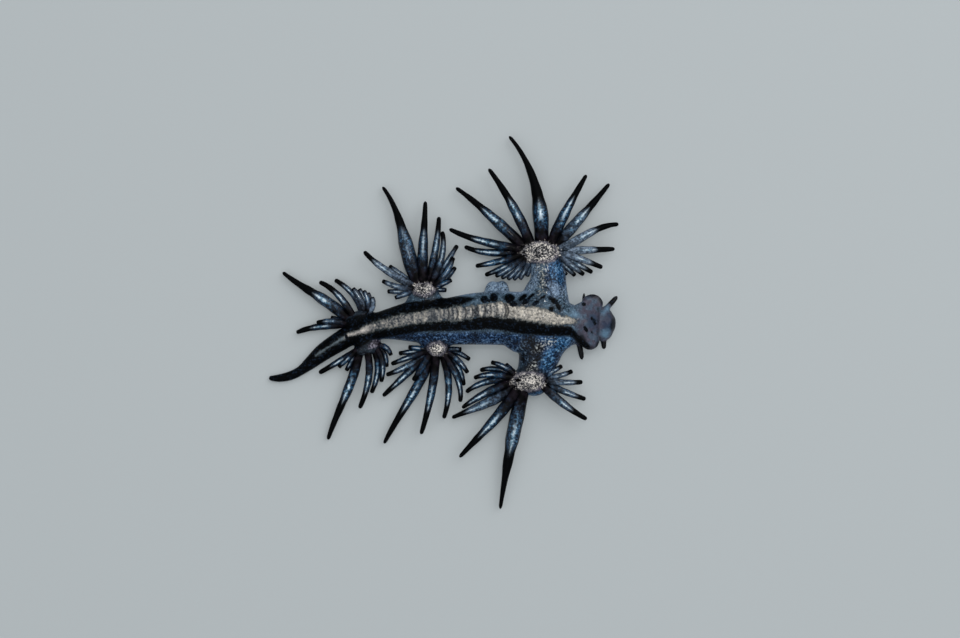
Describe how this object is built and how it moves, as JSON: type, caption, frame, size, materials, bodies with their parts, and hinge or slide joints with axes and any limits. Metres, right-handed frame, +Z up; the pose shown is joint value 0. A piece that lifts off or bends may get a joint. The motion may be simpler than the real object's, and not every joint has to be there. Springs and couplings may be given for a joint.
{
  "type": "blue dragon sea slug",
  "caption": "Life-size blue dragon sea slug lying on its back, foot up, with fans of finger-like cerata on arms along a tapering body.",
  "frame": {"origin": "on the floor under the middle of the trunk, on the flat that the back rests on", "axes": "+X towards the head, +Y towards the animal's own right side, +Z up, towards its foot, because it lies on its back"},
  "size_m": [0.0398, 0.0424, 0.0045],
  "materials": {
    "body_skin": "wet smooth skin: near black and slate blue with a cream, dark-speckled band along the foot",
    "head_skin": "wet translucent grey violet skin with small dark spots",
    "lobe_skin": "wet translucent violet grey skin, darker at the edges",
    "cerata_skin": "wet deep blue fingers with a silvery streak, dark brown roots and near black ends"
  },
  "bodies": {
    "root": {"head": "head_skin", "neck": "head_skin", "foot_corner_right": "lobe_skin", "foot_corner_left": "lobe_skin", "oral_tentacle_right": "lobe_skin", "oral_tentacle_left": "lobe_skin", "rhinophore_right": "lobe_skin", "rhinophore_left": "lobe_skin", "trunk_front": "body_skin", "trunk_middle": "body_skin", "trunk_rear": "body_skin", "tail_base": "body_skin", "tail_tip": "body_skin", "arm_front_right": "body_skin", "arm_front_left": "body_skin", "fan_front_right": "cerata_skin", "fan_front_left": "cerata_skin", "fan_middle_right": "cerata_skin", "fan_middle_left": "cerata_skin", "fan_rear_right": "cerata_skin", "fan_rear_left": "cerata_skin"}
  },
  "joints": []
}
